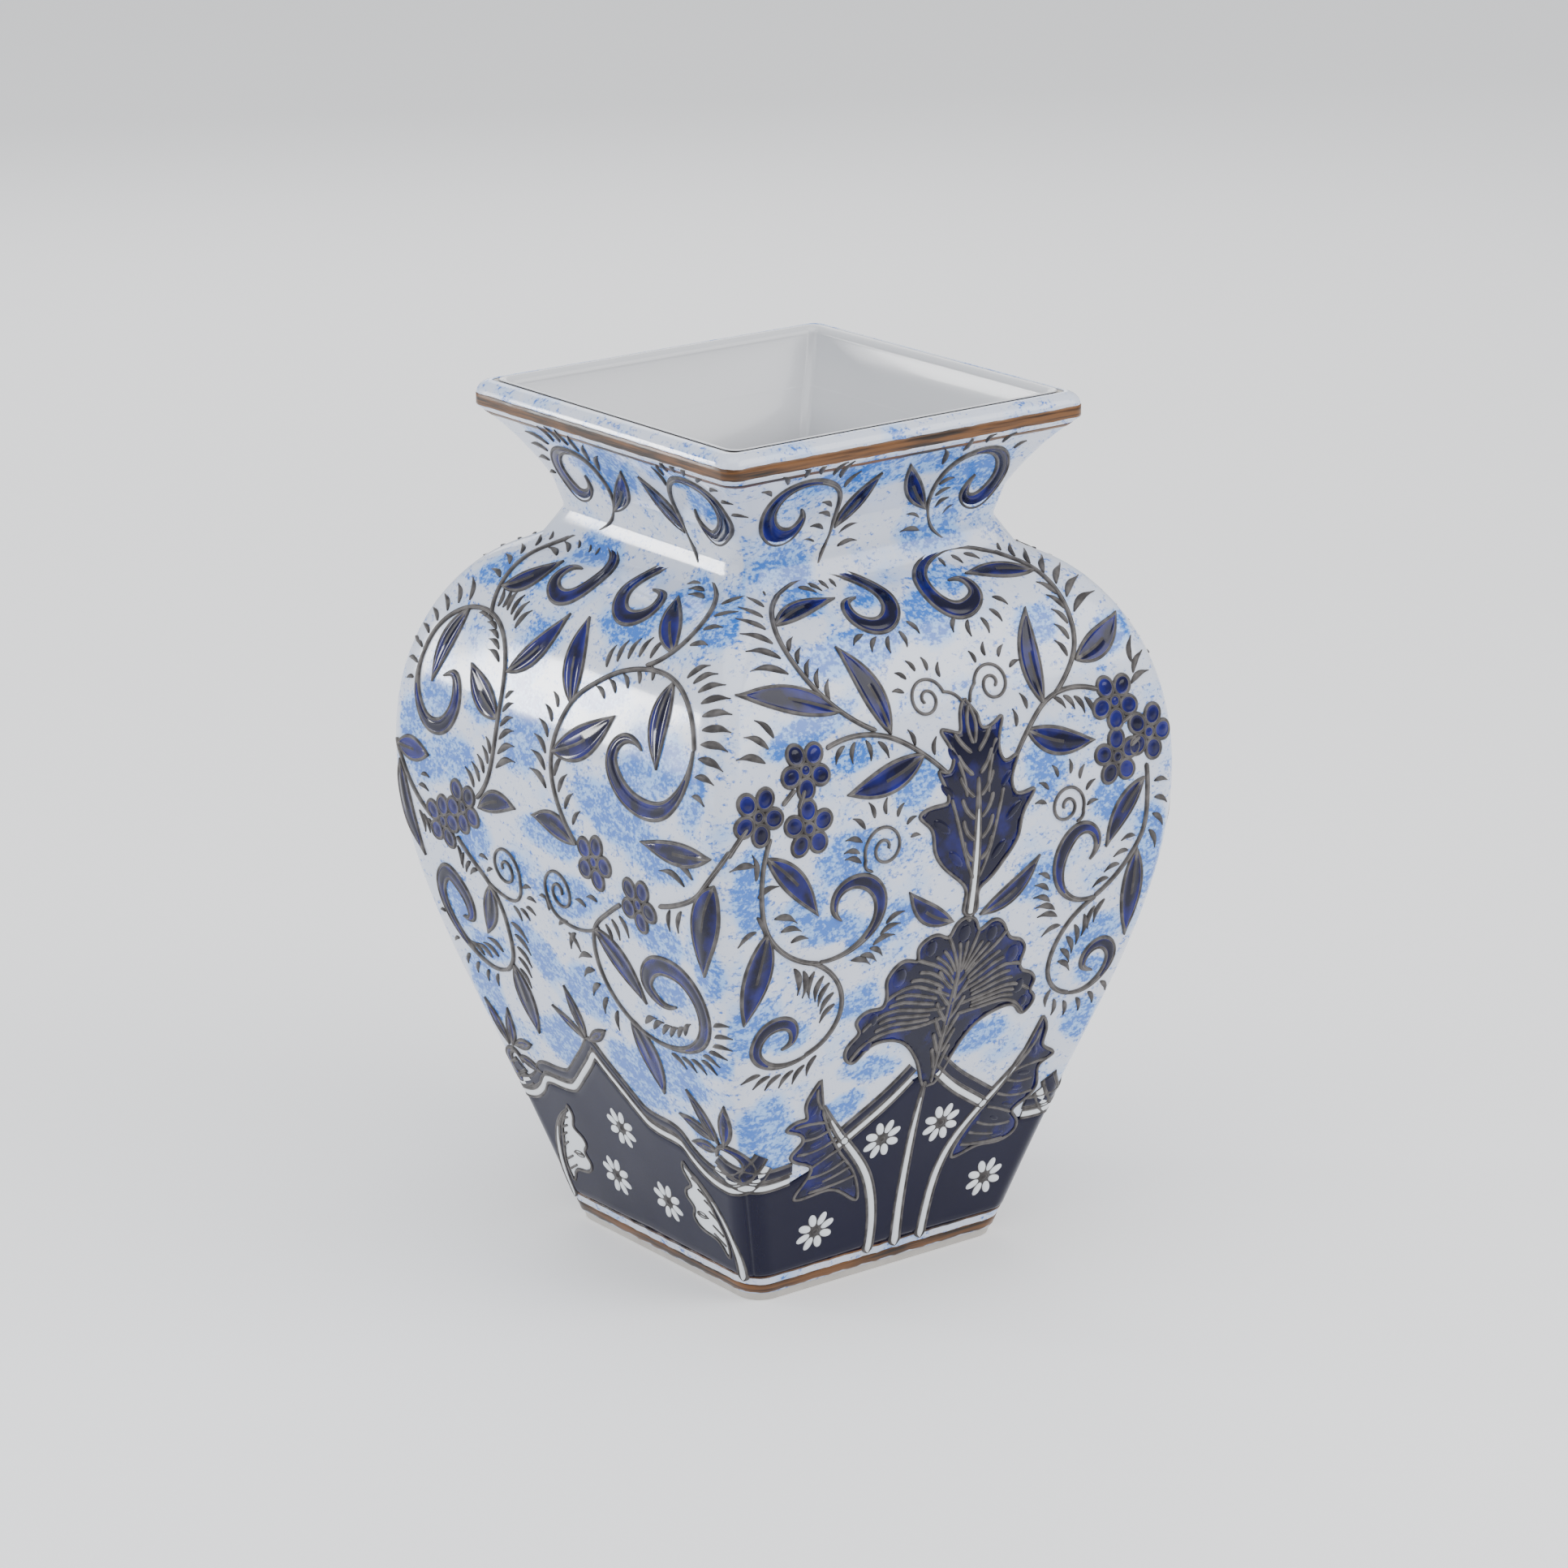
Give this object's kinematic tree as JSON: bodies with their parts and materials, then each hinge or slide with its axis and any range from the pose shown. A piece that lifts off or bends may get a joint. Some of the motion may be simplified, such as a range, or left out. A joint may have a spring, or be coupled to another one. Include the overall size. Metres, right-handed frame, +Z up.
{
  "type": "pottery vase",
  "caption": "Square-shouldered glazed pottery vase with a narrow foot, wide belly, pinched neck, flared square rim and raised blue enamel scrolls, leaves and flowers.",
  "frame": {"origin": "middle of the foot, on the surface the vase stands on", "axes": "+Z up through the mouth; the four faces look along -Y (front), -X (left), +Y (back) and +X (right)"},
  "size_m": [0.1956, 0.1956, 0.3],
  "materials": {
    "clay": "bare fired clay on the foot ring, matt",
    "white_glaze": "glossy white tin glaze, sponged with patches of light blue",
    "inner_glaze": "plain glossy grey-white glaze",
    "brown_paint": "glossy streaky brown band",
    "cobalt_enamel": "glossy deep blue enamel inside raised dark outlines",
    "navy_enamel": "glossy near-black navy enamel",
    "white_enamel": "glossy white enamel inside raised dark outlines",
    "raised_outline": "raised dark brown-black line, satin gloss"
  },
  "bodies": {
    "root": {"clay_body": "clay", "outer_glaze": "white_glaze", "inner_glaze": "inner_glaze", "foot_band": "brown_paint", "rim_band": "brown_paint", "rim_pinstripe": "brown_paint", "front_neck_scrolls": "cobalt_enamel", "front_shoulder_scrolls": "cobalt_enamel", "front_plume": "cobalt_enamel", "front_blossom": "cobalt_enamel", "front_stems": "cobalt_enamel", "front_flowers": "cobalt_enamel", "front_leaves": "cobalt_enamel", "front_body_scrolls": "cobalt_enamel", "front_curls": "raised_outline", "front_vines": "raised_outline", "front_daisies": "white_enamel", "front_border": "navy_enamel", "front_skirt": "navy_enamel", "back_neck_scrolls": "cobalt_enamel", "back_shoulder_scrolls": "cobalt_enamel", "back_plume": "cobalt_enamel", "back_blossom": "cobalt_enamel", "back_stems": "cobalt_enamel", "back_flowers": "cobalt_enamel", "back_leaves": "cobalt_enamel", "back_body_scrolls": "cobalt_enamel", "back_curls": "raised_outline", "back_vines": "raised_outline", "back_daisies": "white_enamel", "back_border": "navy_enamel", "back_skirt": "navy_enamel", "left_neck_scrolls": "cobalt_enamel", "left_shoulder_scrolls": "cobalt_enamel", "left_flowers": "cobalt_enamel", "left_leaves": "cobalt_enamel", "left_body_scrolls": "cobalt_enamel", "left_curls": "raised_outline", "left_vines": "raised_outline", "left_sprigs": "cobalt_enamel", "left_half_leaves": "white_enamel", "left_daisies": "white_enamel", "left_border": "navy_enamel", "left_skirt": "navy_enamel", "right_neck_scrolls": "cobalt_enamel", "right_shoulder_scrolls": "cobalt_enamel", "right_flowers": "cobalt_enamel", "right_leaves": "cobalt_enamel", "right_body_scrolls": "cobalt_enamel", "right_curls": "raised_outline", "right_vines": "raised_outline", "right_sprigs": "cobalt_enamel", "right_half_leaves": "white_enamel", "right_daisies": "white_enamel", "right_border": "navy_enamel", "right_skirt": "navy_enamel"}
  },
  "joints": []
}
